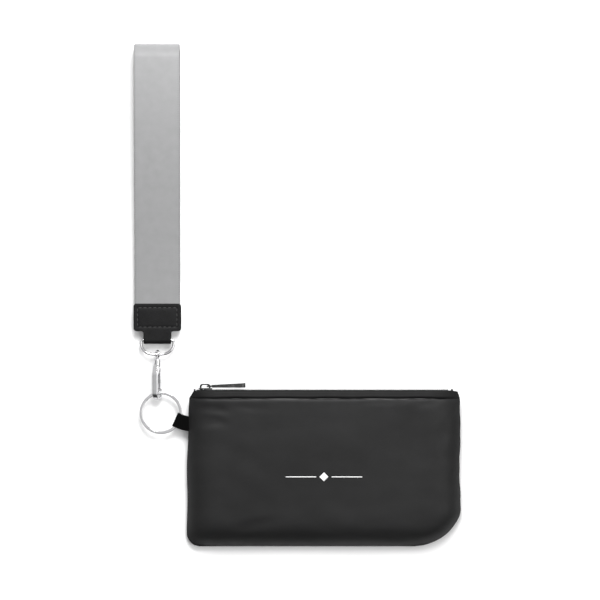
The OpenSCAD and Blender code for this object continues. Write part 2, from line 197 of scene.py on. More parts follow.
def ramp(tree, value, low, high, dark, light):
    """Maps a value between low and high to a colour between dark and light"""
    made = add_node(tree, "ShaderNodeValToRGB", i0=value)
    made.color_ramp.elements[0].position = low
    made.color_ramp.elements[1].position = high
    made.color_ramp.elements[0].color = dark
    made.color_ramp.elements[1].color = light
    return made.outputs["Color"]


def shade(colour, factor):
    return (colour[0] * factor, colour[1] * factor, colour[2] * factor, 1)


def grey(value):
    return (value, value, value, 1)


def add_bump(tree, shader, height, depth, strength=1.0):
    bump = add_node(tree, "ShaderNodeBump", Height=height, Distance=depth, Strength=strength)
    tree.links.new(bump.outputs["Normal"], shader.inputs["Normal"])


def woven_height(tree, first, second, pitch):
    """Height of a plain weave from two crossed threads"""
    along = ripple(tree, first, pitch)
    across = ripple(tree, second, pitch)
    return math_node(tree, "MULTIPLY", along, across)


def cloth_material(name):
    """Smooth black cloth: a fine plain weave with a soft sheen and faint handling marks"""
    material, shader = new_material(name)
    tree = material.node_tree
    colour = look().cloth_colour
    place, axis = place_of(tree)
    patch = noise_node(tree, place, 28.0)
    tree.links.new(
        ramp(tree, patch, 0.35, 0.7, shade(colour, 0.88), shade(colour, 1.18)),
        shader.inputs["Base Color"],
    )
    rough = noise_node(tree, place, 90.0, 5.0)
    tree.links.new(ramp(tree, rough, 0.3, 0.75, grey(0.46), grey(0.58)), shader.inputs["Roughness"])
    shader.inputs["Sheen Weight"].default_value = 0.02
    shader.inputs["Sheen Roughness"].default_value = 0.4
    shader.inputs["Specular IOR Level"].default_value = 0.21
    weave = woven_height(tree, axis["X"], axis["Y"], look().thread_pitch)
    slub = noise_node(tree, place, 420.0, 2.0)
    add_bump(tree, shader, math_node(tree, "ADD", weave, slub), 0.05 * MM, 0.55)
    return material


def lining_material(name):
    """Thin plain lining cloth"""
    material, shader = new_material(name)
    tree = material.node_tree
    place, axis = place_of(tree)
    patch = noise_node(tree, place, 40.0)
    tree.links.new(ramp(tree, patch, 0.3, 0.7, grey(0.04), grey(0.06)), shader.inputs["Base Color"])
    shader.inputs["Roughness"].default_value = 0.8
    add_bump(tree, shader, woven_height(tree, axis["X"], axis["Y"], 0.5 * MM), 0.05 * MM, 0.6)
    return material


def tape_material(name):
    """Knitted zipper tape with fine ribs along it"""
    material, shader = new_material(name)
    tree = material.node_tree
    place, axis = place_of(tree)
    patch = noise_node(tree, place, 120.0)
    colour = look().cloth_colour
    tree.links.new(
        ramp(tree, patch, 0.3, 0.7, shade(colour, 0.5), shade(colour, 0.75)), shader.inputs["Base Color"]
    )
    shader.inputs["Roughness"].default_value = 0.58
    shader.inputs["Specular IOR Level"].default_value = 0.13
    height = woven_height(tree, axis["X"], axis["Z"], 0.55 * MM)
    add_bump(tree, shader, height, 0.08 * MM, 0.7)
    return material


def ribbon_material(name):
    """Black ribbon with ribs across it"""
    material, shader = new_material(name)
    tree = material.node_tree
    place, axis = place_of(tree, by_uv=True)
    ribs = ripple(tree, axis["Y"], 0.62 * MM)
    edge = noise_node(tree, place, 900.0)
    tree.links.new(ramp(tree, ribs, 0.1, 0.9, grey(0.0008), grey(0.0035)), shader.inputs["Base Color"])
    shader.inputs["Roughness"].default_value = 0.7
    shader.inputs["Specular IOR Level"].default_value = 0.025
    add_bump(tree, shader, math_node(tree, "ADD", ribs, edge), 0.1 * MM, 0.6)
    return material


def webbing_material(name):
    """Silver-grey webbing: a fine twill with a firmer selvedge along both edges"""
    material, shader = new_material(name)
    tree = material.node_tree
    colour = look().webbing_colour
    place, axis = place_of(tree, by_uv=True)
    width = STRAP_HIGH.x - STRAP_LOW.x
    diagonal = math_node(tree, "ADD", axis["X"], axis["Y"])
    twill = ripple(tree, diagonal, 0.85 * MM)
    yarn = ripple(tree, axis["X"], 0.6 * MM)
    weave = math_node(tree, "MULTIPLY", twill, yarn)
    from_middle = math_node(tree, "ABSOLUTE", math_node(tree, "SUBTRACT", axis["X"], width / 2))
    at_edge = math_node(tree, "GREATER_THAN", from_middle, width / 2 - 1.3 * MM)
    dots = ripple(tree, axis["Y"], 1.5 * MM)
    selvedge = math_node(tree, "MULTIPLY", at_edge, dots)
    fibre = noise_node(tree, place, 160.0, 5.0)
    mixed = math_node(tree, "ADD", math_node(tree, "MULTIPLY", weave, 0.9), fibre)
    base = ramp(tree, mixed, 0.2, 1.5, shade(colour, 0.90), shade(colour, 1.10))
    edged = add_node(tree, "ShaderNodeMix", {"data_type": "RGBA"})
    tree.links.new(math_node(tree, "MULTIPLY", selvedge, 0.35), edged.inputs[0])
    tree.links.new(base, edged.inputs[6])
    edged.inputs[7].default_value = shade(colour, 0.55)
    tree.links.new(edged.outputs[2], shader.inputs["Base Color"])
    shader.inputs["Roughness"].default_value = 0.52
    shader.inputs["Sheen Weight"].default_value = 0.05
    shader.inputs["Sheen Roughness"].default_value = 0.45
    height = math_node(tree, "ADD", weave, math_node(tree, "MULTIPLY", selvedge, -0.8))
    add_bump(tree, shader, height, 0.09 * MM, 0.7)
    return material


def leather_material(name):
    """Black leather with a pebbled grain, worn slightly paler on its crests"""
    material, shader = new_material(name)
    tree = material.node_tree
    colour = look().leather_colour
    place, _ = place_of(tree)
    cells = add_node(
        tree, "ShaderNodeTexVoronoi", {"feature": "DISTANCE_TO_EDGE"}, Vector=place, Scale=1150.0
    ).outputs["Distance"]
    pores = noise_node(tree, place, 2400.0, 4.0)
    pebble = math_node(tree, "MINIMUM", math_node(tree, "MULTIPLY", cells, 3.0), 1.0)
    patch = noise_node(tree, place, 150.0)
    mixed = math_node(tree, "ADD", math_node(tree, "MULTIPLY", pebble, 0.4), patch)
    tree.links.new(
        ramp(tree, mixed, 0.4, 1.0, shade(colour, 0.75), shade(colour, 1.5)), shader.inputs["Base Color"]
    )
    tree.links.new(ramp(tree, pores, 0.3, 0.7, grey(0.42), grey(0.6)), shader.inputs["Roughness"])
    shader.inputs["Specular IOR Level"].default_value = 0.12
    height = math_node(tree, "ADD", pebble, math_node(tree, "MULTIPLY", pores, 0.5))
    add_bump(tree, shader, height, 0.09 * MM, 0.75)
    return material


def thread_material(name):
    """Black waxed thread with a twist"""
    material, shader = new_material(name)
    tree = material.node_tree
    place, axis = place_of(tree)
    twist = ripple(tree, math_node(tree, "ADD", axis["X"], axis["Y"]), 0.4 * MM)
    tree.links.new(ramp(tree, twist, 0.1, 0.9, grey(0.012), grey(0.03)), shader.inputs["Base Color"])
    shader.inputs["Roughness"].default_value = 0.5
    add_bump(tree, shader, twist, 0.05 * MM, 0.8)
    return material


def plated_material(name):
    """Polished plated metal with faint smudges and fine scratches"""
    material, shader = new_material(name)
    tree = material.node_tree
    place, _ = place_of(tree)
    smudge = noise_node(tree, place, 260.0, 4.0)
    stretched = add_node(tree, "ShaderNodeMapping", Vector=place, Scale=(3.0, 0.25, 3.0)).outputs[0]
    scratch = noise_node(tree, stretched, 2600.0, 2.0)
    colour = look().metal_colour
    tree.links.new(
        ramp(tree, smudge, 0.3, 0.75, shade(colour, 0.94), shade(colour, 1.04)),
        shader.inputs["Base Color"],
    )
    shader.inputs["Metallic"].default_value = 1.0
    tree.links.new(ramp(tree, smudge, 0.35, 0.8, grey(0.05), grey(0.13)), shader.inputs["Roughness"])
    add_bump(tree, shader, scratch, 0.004 * MM, 0.5)
    return material


def steel_material(name):
    """Plain spring steel with a drawn finish"""
    material, shader = new_material(name)
    tree = material.node_tree
    place, _ = place_of(tree)
    drawn = noise_node(tree, place, 1800.0)
    tree.links.new(ramp(tree, drawn, 0.3, 0.7, grey(0.4), grey(0.55)), shader.inputs["Base Color"])
    shader.inputs["Metallic"].default_value = 1.0
    shader.inputs["Roughness"].default_value = 0.35
    return material


def enamel_material(name):
    """Black enamel on the zipper's metal, rubbed thin in places"""
    material, shader = new_material(name)
    tree = material.node_tree
    place, _ = place_of(tree)
    rub = noise_node(tree, place, 700.0, 5.0)
    tree.links.new(ramp(tree, rub, 0.5, 0.85, grey(0.010), grey(0.045)), shader.inputs["Base Color"])
    tree.links.new(ramp(tree, rub, 0.4, 0.8, grey(0.22), grey(0.42)), shader.inputs["Roughness"])
    shader.inputs["Coat Weight"].default_value = 0.3
    shader.inputs["Coat Roughness"].default_value = 0.15
    add_bump(tree, shader, rub, 0.02 * MM, 0.4)
    return material


def coil_material(name):
    """Black nylon monofilament"""
    material, shader = new_material(name)
    tree = material.node_tree
    place, _ = place_of(tree)
    patch = noise_node(tree, place, 900.0)
    tree.links.new(ramp(tree, patch, 0.3, 0.7, grey(0.022), grey(0.040)), shader.inputs["Base Color"])
    shader.inputs["Roughness"].default_value = 0.34
    return material


def print_material(name):
    """White printing ink, slightly uneven over the cloth's threads"""
    material, shader = new_material(name)
    tree = material.node_tree
    place, axis = place_of(tree)
    patch = noise_node(tree, place, 600.0, 4.0)
    tree.links.new(ramp(tree, patch, 0.25, 0.7, grey(0.78), grey(0.92)), shader.inputs["Base Color"])
    shader.inputs["Roughness"].default_value = 0.55
    add_bump(tree, shader, woven_height(tree, axis["X"], axis["Y"], 0.42 * MM), 0.03 * MM, 0.5)
    return material


FINISHES = {
    "outer_cloth": cloth_material,
    "lining_cloth": lining_material,
    "zipper_tape": tape_material,
    "zipper_coil": coil_material,
    "zipper_metal": enamel_material,
    "ribbon": ribbon_material,
    "hardware": plated_material,
    "spring_steel": steel_material,
    "leather": leather_material,
    "thread": thread_material,
    "webbing": webbing_material,
    "print_ink": print_material,
}


def finish_of(slot):
    """A material that several pieces may use, made once; the CAD's own has the bare slot's name"""
    name = "pouch_" + slot
    return bpy.data.materials.get(name) or FINISHES[slot](name)


# Shapes


def place_piece(name, shape, body, slot, *replaces, look_of=None):
    """Turns a bmesh into a finished piece that rides on a body"""
    mesh = bpy.data.meshes.new(name)
    shape.to_mesh(mesh)
    shape.free()
    return place_mesh(name, mesh, body, slot, *replaces, look_of=look_of)


def place_mesh(name, mesh, body, slot, *replaces, look_of=None):
    """The same for a mesh; its finish is its slot's, unless look_of names another"""
    mesh.shade_smooth()
    mesh.materials.clear()
    mesh.materials.append(finish_of(look_of or slot))
    piece = bpy.data.objects.new(name, mesh)
    bpy.context.scene.collection.objects.link(piece)
    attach(piece, body)
    if replaces:
        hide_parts(*replaces)
    return piece


def paint_node(node, slot):
    """Gives a CAD piece whose shape is right its finish"""
    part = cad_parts[node]
    part.data.materials.clear()
    part.data.materials.append(finish_of(slot))


def round_section(radius, count=20):
    turns = [2 * math.pi * i / count for i in range(count)]
    return [(radius * math.cos(a), radius * math.sin(a)) for a in turns]


def band_section(width, thickness, across=9):
    """Outline of a flat band with rounded edges"""
    half = thickness / 2
    straight = width / 2 - half
    arc = [math.radians(-90 + 180 * i / 6) for i in range(7)]
    flat = [straight - 0.3 * MM - (2 * straight - 0.6 * MM) * i / across for i in range(across + 1)]
    right = [(straight + half * math.cos(a), half * math.sin(a)) for a in arc]
    top = [(x, half) for x in flat]
    left = [(-x, -y) for x, y in right]
    bottom = [(-x, -half) for x in flat]
    return right + top + left + bottom


def rounded_bar(width, height, radius, steps=4):
    """Outline of a rectangle with rounded corners"""
    points = []
    for quarter, (sx, sy) in enumerate(((1, 1), (-1, 1), (-1, -1), (1, -1))):
        for i in range(steps + 1):
            a = math.radians(90 * quarter + 90 * i / steps)
            points.append((
                sx * (width / 2 - radius) + radius * math.cos(a),
                sy * (height / 2 - radius) + radius * math.sin(a),
            ))
    return points


def frame_at(point, ahead, side):
    """A place whose X is side, whose Z is ahead, and whose Y stands square to both"""
    ahead = ahead.normalized()
    side = (side - ahead * side.dot(ahead)).normalized()
    turned = Matrix((side, ahead.cross(side), ahead)).transposed().to_4x4()
    turned.translation = point
    return turned


def frames_along(points, side, closed=False):
    """A frame at each point of a line, whose Z follows the line"""
    last = len(points) - 1
    made = []
    for i, point in enumerate(points):
        if closed:
            ahead = points[(i + 1) % len(points)] - points[i - 1]
        else:
            ahead = points[min(i + 1, last)] - points[max(i - 1, 0)]
        made.append(frame_at(point, ahead, side))
    return made


def sweep(shape, frames, section, closed=False):
    """A closed skin through copies of a section; its UV map runs across and along it in metres"""
    uv = shape.loops.layers.uv.verify()
    rings, places = [], {}
    travelled = 0.0
    for i, here in enumerate(frames):
        if i > 0:
            travelled += (here.translation - frames[i - 1].translation).length
        ring = bmesh.ops.create_circle(shape, segments=len(section), radius=1, cap_ends=False)["verts"]
        edges = list(dict.fromkeys(edge for vert in ring for edge in vert.link_edges))
        for vert, (a, b) in zip(ring, section):
            vert.co = here @ Vector((a, b, 0))
            places[vert] = (a, travelled)
        rings.append(edges)
    for low, high in zip(rings, rings[1:] + ([rings[0]] if closed else [])):
        bmesh.ops.bridge_loops(shape, edges=low + high)
    if not closed:
        bmesh.ops.edgeloop_fill(shape, edges=rings[0])
        bmesh.ops.edgeloop_fill(shape, edges=rings[-1])
    left_edge = min(x for x, _ in section)
    for face in shape.faces:
        for loop in face.loops:
            if loop.vert in places:
                across, along = places[loop.vert]
                loop[uv].uv = (across - left_edge, along)
    bmesh.ops.recalc_face_normals(shape, faces=shape.faces)


def lathe(shape, profile, axis_point, axis, steps=40):
    """Spins a profile of (distance along the axis, radius) into a closed solid"""
    side = axis.orthogonal().normalized()
    verts = [shape.verts.new(axis_point + axis * a + side * r) for a, r in profile]
    edges = [shape.edges.new(pair) for pair in zip(verts, verts[1:])]
    bmesh.ops.spin(
        shape, geom=verts + edges, cent=axis_point, axis=axis, angle=2 * math.pi, steps=steps,
        use_merge=True,
    )
    bmesh.ops.remove_doubles(shape, verts=shape.verts, dist=0.002 * MM)
    bmesh.ops.recalc_face_normals(shape, faces=shape.faces)


def merged_copy(node):
    """The shape of a CAD piece as one clean skin"""
    shape = bmesh.new()
    shape.from_mesh(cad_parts[node].data)
    bmesh.ops.remove_doubles(shape, verts=shape.verts, dist=0.003 * MM)
    return shape


def add_modifier(piece, kind, **settings):
    """A modifier of a piece, with its settings filled in"""
    made = piece.modifiers.new(kind.title(), kind)
    for key, value in settings.items():
        setattr(made, key, value)
    return made


def eased_piece(name, node, body, slot, width):
    """A machined piece: the CAD shape with its sharp edges eased"""
    shape = merged_copy(node)
    bmesh.ops.dissolve_limit(
        shape, angle_limit=math.radians(1), verts=shape.verts, edges=shape.edges,
        use_dissolve_boundaries=False,
    )
    piece = place_piece(name, shape, body, slot, node)
    add_modifier(
        piece, "BEVEL", width=width, segments=3, limit_method="ANGLE", angle_limit=math.radians(38),
        harden_normals=True,
    )
    return piece


def cast_mesh(node, voxel, rounds):
    """A cast or moulded skin: the CAD shape remeshed and smoothed until its edges are soft"""
    shape = merged_copy(node)
    mesh = bpy.data.meshes.new(node + "_rough")
    shape.to_mesh(mesh)
    shape.free()
    rough = bpy.data.objects.new(node + "_rough", mesh)
    bpy.context.scene.collection.objects.link(rough)
    add_modifier(rough, "REMESH", mode="VOXEL", voxel_size=voxel)
    graph = bpy.context.evaluated_depsgraph_get()
    cast = bpy.data.meshes.new_from_object(rough.evaluated_get(graph))
    bpy.data.objects.remove(rough)
    shape = bmesh.new()
    shape.from_mesh(cast)
    for _ in range(rounds):
        bmesh.ops.smooth_vert(
            shape, verts=shape.verts, factor=0.5, use_axis_x=True, use_axis_y=True, use_axis_z=True
        )
    shape.to_mesh(cast)
    shape.free()
    return cast


# The pouch's outline and the way its cloth lies


def mix(low, high, t):
    return low + (high - low) * t


def clamp(t):
    return max(0.0, min(1.0, t))


def ease(t):
    """From 0 to 1, slow at both ends"""
    return (1 - math.cos(math.pi * t)) / 2


def bell(distance, width):
    """1 at no distance, falling away smoothly beyond the width"""
    return math.exp(-((distance / width) ** 2))


def corner(height, across, up, roundness):
    """How far a rounded corner pulls a side in, at a height above the bottom edge"""
    t = clamp((up - max(0.0, height)) / up)
    return across * (1 - max(0.0, 1 - t**roundness) ** (1 / roundness))


# The bottom corners: how far each reaches across and up, and how round it is
LEFT_CORNER = (8 * MM, 9 * MM, 2.0)
RIGHT_CORNER = (30 * MM, 25 * MM, 1.8)
LEFT_LEAN = 1.8 * MM
RIGHT_LEAN = 0.9 * MM


def lean(y):
    """How far up the pouch a height is, from 0 to 1, counted mostly near the zipper"""
    return clamp((y - FRONT_LOW.y) / POUCH_HEIGHT) ** 4


def left_side(y):
    """The left seam: it leans in towards the zipper and is slightly wavy"""
    wave = 0.25 * MM * (1 - math.cos(y * 150))
    return FRONT_LOW.x + LEFT_LEAN * lean(y) + wave + corner(y - FRONT_LOW.y, *LEFT_CORNER)


def right_side(y):
    """The right seam: it also has one shallow dent half way up"""
    wave = 0.9 * MM * bell(y + 1 * MM, 15 * MM) + 0.12 * MM * (1 - math.cos(y * 420))
    return FRONT_HIGH.x - RIGHT_LEAN * lean(y) - wave - corner(y - FRONT_LOW.y, *RIGHT_CORNER)


def seam_height(y):
    """The seams rise from the surface at the bottom to half the depth at the zipper"""
    return mix(SEAM_Z_LOW, SEAM_Z_HIGH, clamp((y - FRONT_LOW.y) / POUCH_HEIGHT))


def fullness(distance):
    """0 at a seam, 1 well inside it"""
    return 1 - (1 - clamp(distance / (28 * MM))) ** 4.2


def fill_at(x, y):
    """The same for a place on the pouch; the zipper's edge doesn't count as a seam"""
    return fullness(x - left_side(y)) * fullness(right_side(y) - x) * fullness(y - FRONT_LOW.y)


# Soft folds in the front, in millimetres: where each starts, its direction in degrees, its length,
# its width and its depth
FOLDS = (
    ((-85, 40), -6, 26, 2.8, 0.60),
    ((-84, 35), -16, 24, 3.0, 0.45),
    ((-87, 27), 12, 22, 3.2, 0.40),
    ((-66, 41.0), -4, 36, 2.2, 0.24),
    ((20, 43), 2, 46, 1.8, 0.35),
    ((60, 41), 14, 24, 2.4, 0.30),
    ((-60, -40), 12, 34, 3.2, 0.35),
    ((30, -42), -10, 30, 3.0, 0.30),
    ((76, 10), 80, 26, 3.4, 0.30),
)


def fold_depth(x, y):
    """How deep the folds are at a place; each fades in and out along its length"""
    run_out = 3
    total = 0.0
    for (x0, y0), turn, length, width, depth in FOLDS:
        dx, dy = x / MM - x0, y / MM - y0
        c, s = math.cos(math.radians(turn)), math.sin(math.radians(turn))
        along, across = dx * c + dy * s, dy * c - dx * s
        if -run_out < along < length + run_out:
            fade = math.sin(math.pi * clamp((along + run_out) / (length + 2 * run_out))) ** 2
            total += depth * fade * bell(across, width)
    return FOLD_SCALE * total * MM


def wrinkle_at(x, y, seed):
    """How far the cloth stands off its smooth shape: broad waves, and puckers along the seams"""
    broad = noise.noise(Vector((x * 20, y * 26, seed)))
    fine = noise.noise(Vector((x * 60, y * 95, seed + 7)))
    edge = min(x - left_side(y), right_side(y) - x, y - FRONT_LOW.y)
    run = x if edge == y - FRONT_LOW.y else y
    reach = 5 * MM
    pucker = math.sin(run * 2 * math.pi / (8.5 * MM) + 3 * broad) * math.exp(-edge / reach)
    gather = math.sin(x * 2 * math.pi / (11 * MM) + 4 * broad) * math.exp(-(FRONT_HIGH.y - y) / reach)
    return look().wrinkle * (0.9 * broad + 0.3 * fine) + 0.21 * MM * pucker + 0.18 * MM * gather


def front_height(x, y):
    """Height of the front cloth; its folds never reach the lining"""
    knee = 0.3 * MM
    off = wrinkle_at(x, y, 3) - fold_depth(x, y)
    if off < -knee:
        off = -knee * (2 - math.exp((off + knee) / knee))
    edge = seam_height(y) + SEAM_STEP
    return edge + (POUCH_TOP - CLOTH_ROOM - edge + off) * fill_at(x, y)


def panel_point(u, v, side):
    """A point of the front cloth (side 1) or the back cloth (side -1)"""
    y = mix(FRONT_LOW.y, FRONT_HIGH.y, 0.25 * v * v + 0.75 * v)
    x = mix(left_side(y), right_side(y), ease(u))
    fill = fill_at(x, y)
    tuck = 1.1 * MM * bell(FRONT_HIGH.y - y, 0.9 * MM) * fill
    if side > 0:
        return Vector((x, y, front_height(x, y) - tuck))
    edge = seam_height(y) - SEAM_STEP
    lift = edge * fill + 0.4 * wrinkle_at(x, y, 31) * fill * (1 - fill)
    off_floor = 0.02 * MM
    return Vector((x, y, max(off_floor, edge - lift) + tuck))


def net(columns, rows, place):
    """A grid of cloth whose points go where place(u, v) says"""
    shape = bmesh.new()
    bmesh.ops.create_grid(shape, x_segments=columns, y_segments=rows, size=1)
    for vert in shape.verts:
        vert.co = place((vert.co.x + 1) / 2, (vert.co.y + 1) / 2)
    return shape


def length_of(points):
    """Length of the line through the points"""
    return sum((b - a).length for a, b in zip(points, points[1:]))


def cloth_piece(name, node, slot, count, place, side, thickness):
    """A sewn-in sheet whose points go where place(u, v, side) says

    It works out how wide and long its middle lines are and the area of its face, but uses none of them.
    """
    shape = net(*count, lambda u, v: place(u, v, side))
    if side < 0:
        bmesh.ops.reverse_faces(shape, faces=shape.faces)
    cut_area = sum(face.calc_area() for face in shape.faces)
    piece = place_piece(name, shape, "pouch", slot, node)
    add_modifier(piece, "SOLIDIFY", thickness=thickness, offset=-1)
    steps = [i / 80 for i in range(81)]
    width = length_of([place(t, 0.5, side) for t in steps])
    length = length_of([place(0.5, t, side) for t in steps])


def tape_point(u, v, side):
    """A point of the zipper tape, which bends over from the panel to the slit"""
    turn = math.radians(mix(-6, 90, v))
    narrow = math.sin(max(0.0, turn)) ** 1.3
    y0 = FRONT_HIGH.y
    x = mix(left_side(y0) + 4.4 * MM * narrow, right_side(y0) - 2.2 * MM * narrow, ease(u))
    fill = fill_at(x, y0)
    rise = TAPE_HIGH.y - TAPE_LOW.y
    slit = 0.4 * MM
    under = 0.55 * MM
    gap = (SEAM_Z_HIGH - under) * fill + 0.2 * MM
    sway = 0.14 * MM * math.sin(x * 210 + side) * math.cos(turn) * fill
    dip = 0.7 * MM * bell(v, 0.10) * fill
    roll = 2.3 * MM * bell(math.cos(turn) - 0.72, 0.2) * fill**0.4
    return Vector((
        x,
        y0 - 0.25 * MM + (rise + 0.1 * MM) * math.sin(turn) + sway + roll,
        SEAM_Z_HIGH + side * (slit + max(0.0, gap - dip - slit) * math.cos(turn)),
    ))


# Operators


class POUCH_OT_cloth(bpy.types.Operator):
    """Make the front and back cloth and colour the lining"""

    bl_idname = "pouch.cloth"
    bl_label = "Cloth body"
    bl_options = {"REGISTER", "UNDO"}

    def execute(self, context):
        for name, side in (("front", 1), ("back", -1)):
            cloth_piece(
                name + "_cloth", name + "_panel", "outer_cloth", (150, 96), panel_point, side,
                look().cloth_thickness,
            )
        for node in ("front_lining", "back_lining"):
            paint_node(node, "lining_cloth")
        return {"FINISHED"}


class POUCH_OT_ornament(bpy.types.Operator):
    """Print a plain lozenge between two thin lines on the front"""

    bl_idname = "pouch.ornament"
    bl_label = "Printed ornament"
    bl_options = {"REGISTER", "UNDO"}

    def execute(self, context):
        shape = bmesh.new()
        y = -5.5 * MM
        line, lozenge = (20, 0.55, 0), (4.2, 4.2, 45)
        for x, (width, height, turn) in ((-15, line), (15, line), (0, lozenge)):
            place = Matrix.Translation((x * MM, y, 0)) @ Matrix.Rotation(math.radians(turn), 4, "Z")
            made = bmesh.ops.create_grid(shape, x_segments=24, y_segments=4, size=0.5)["verts"]
            for vert in made:
                vert.co = place @ Vector((vert.co.x * width * MM, vert.co.y * height * MM, 0))
        bmesh.ops.recalc_face_normals(shape, faces=shape.faces)
        for vert in shape.verts:
            vert.co.z = front_height(vert.co.x, vert.co.y) + 0.06 * MM
        piece = place_piece("printed_ornament", shape, "pouch", "outer_cloth", look_of="print_ink")
        add_modifier(piece, "SOLIDIFY", thickness=0.1 * MM, offset=-1)
        return {"FINISHED"}


class POUCH_OT_zipper(bpy.types.Operator):
    """Make the two zipper tapes, the loops of both coils and the stops"""

    bl_idname = "pouch.zipper"
    bl_label = "Zipper"
    bl_options = {"REGISTER", "UNDO"}

    def execute(self, context):
        for name, side in (("front", 1), ("back", -1)):
            cloth_piece(
                "tape_" + name, "zipper_tape_" + name, "zipper_tape", (150, 22), tape_point, side,
                TAPE_THICKNESS,
            )
            self.coil("coil_" + name, "zipper_coil_" + name, side)
        eased_piece("stops_top", "top_stops", "pouch", "zipper_metal", 0.18 * MM)
        eased_piece("stop_bottom", "bottom_stop", "pouch", "zipper_metal", 0.2 * MM)
        return {"FINISHED"}

    def coil(self, name, node, side):
        """A row of small leaning loops; the two rows are half a pitch apart"""
        pitch = look().coil_pitch
        low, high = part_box(node)
        count = int((high.x - low.x - pitch) / pitch)
        middle = (low + high) / 2
        shape = bmesh.new()
        for i in range(count):
            x = low.x + pitch * (i + (0.5 if side > 0 else 1.0))
            size = Matrix.Diagonal((0.4 * MM, 0.62 * MM, 0.78 * MM, 1))
            lean_over = Matrix.Rotation(math.radians(14 * side), 4, "Y")
            place = Matrix.Translation((x, middle.y, middle.z)) @ lean_over @ size
            bmesh.ops.create_uvsphere(shape, u_segments=8, v_segments=6, radius=1, matrix=place)
        place_piece(name, shape, "pouch", "zipper_coil", node)


class POUCH_OT_slider(bpy.types.Operator):
    """Ease the edges of the slider and of its puller"""

    bl_idname = "pouch.slider"
    bl_label = "Slider and puller"
    bl_options = {"REGISTER", "UNDO"}

    def execute(self, context):
        eased_piece("slider", "slider_body", "slider", "zipper_metal", 0.16 * MM)
        tab = eased_piece("pull_tab", "puller", "puller", "zipper_metal", 0.3 * MM)
        self.thicken(tab, *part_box("puller"))
        return {"FINISHED"}

    def thicken(self, tab, low, high):
        """The plate grows thicker from behind its ring to its free end"""
        ring = 6 * MM
        growth = 0.7
        middle = (low.y + high.y) / 2
        for vert in tab.data.vertices:
            past = clamp((vert.co.x - low.x - ring) / (high.x - low.x - ring))
            vert.co.y = mix(middle, vert.co.y, 1 + growth * past)


class POUCH_OT_ribbon(bpy.types.Operator):
    """Fold the black ribbon round the split ring"""

    bl_idname = "pouch.ribbon"
    bl_label = "Ribbon loop"
    bl_options = {"REGISTER", "UNDO"}

    def execute(self, context):
        turn = math.radians(-24)
        out = Vector((math.cos(turn), math.sin(turn), 0))
        to_wire = RING_HIGH.x - RING_CENTRE.x - 1.4 * MM
        wire = Vector((RING_CENTRE.x, RING_CENTRE.y, CHAIN_Z)) + out * to_wire
        seam = seam_height(RIBBON_LOW.y + 4 * MM) - CHAIN_Z
        radius = 2.2 * MM
        reach = (left_side(wire.y) - wire.x) / out.x + 1.2 * MM

        def leg(t, start, end):
            level = Vector((0, 1.3 * MM * t * t, mix(start, end, ease(t))))
            return wire + out * reach * t + level

        points = [leg(1 - i / 14, radius, seam + 0.3 * MM) for i in range(15)]
        for i in range(1, 16):
            a = math.pi * i / 16
            points.append(wire - out * radius * math.sin(a) + Z_AXIS * radius * math.cos(a))
        points += [leg(i / 14, -radius, seam - 0.3 * MM) for i in range(15)]
        shape = bmesh.new()
        along_ring = Vector((-out.y, out.x, 0))
        sweep(shape, frames_along(points, along_ring), band_section(RIBBON_WIDTH, RIBBON_THICKNESS))
        place_piece("ribbon_fold", shape, "pouch", "ribbon", "ribbon_loop")
        return {"FINISHED"}


class POUCH_OT_split_ring(bpy.types.Operator):
    """Wind the flat wire of the split ring twice round"""

    bl_idname = "pouch.split_ring"
    bl_label = "Split ring"
    bl_options = {"REGISTER", "UNDO"}

    def execute(self, context):
        wire_h = 0.88 * MM
        wire_w = 2.0 * MM
        radius = RING_HIGH.x - RING_CENTRE.x - wire_w / 2
        start, step = math.radians(-72), math.radians(34)
        points = []
        count = 240
        for i in range(count + 1):
            turned = (4 * math.pi - step) * i / count
            change = clamp((turned - (2 * math.pi - step)) / step)
            level = mix(-0.5, 0.5, ease(change)) * wire_h
            a = start + turned
            points.append(RING_CENTRE + Vector((radius * math.cos(a), radius * math.sin(a), level)))
        frames = [
            frame_at(p, Vector((-(p - RING_CENTRE).y, (p - RING_CENTRE).x, 0)), p - RING_CENTRE)
            for p in points
        ]
        shape = bmesh.new()
        sweep(shape, frames, rounded_bar(wire_w, wire_h - 0.02 * MM, 0.4 * MM))
        place_piece("ring_of_wire", shape, "ring", "hardware", "split_ring")
        return {"FINISHED"}


class POUCH_OT_hook(bpy.types.Operator):
    """Cast the hook and its gate lever, and finish the rivet and the spring"""

    bl_idname = "pouch.hook"
    bl_label = "Swivel hook"
    bl_options = {"REGISTER", "UNDO"}

    def execute(self, context):
        for name, node, body in (("hook", "hook_body", "hook"), ("gate", "gate_lever", "gate")):
            mesh = cast_mesh(node, 0.16 * MM, 22)
            place_mesh(name, mesh, body, "hardware", node)
        paint_node("gate_rivet", "hardware")
        paint_node("gate_spring", "spring_steel")
        return {"FINISHED"}


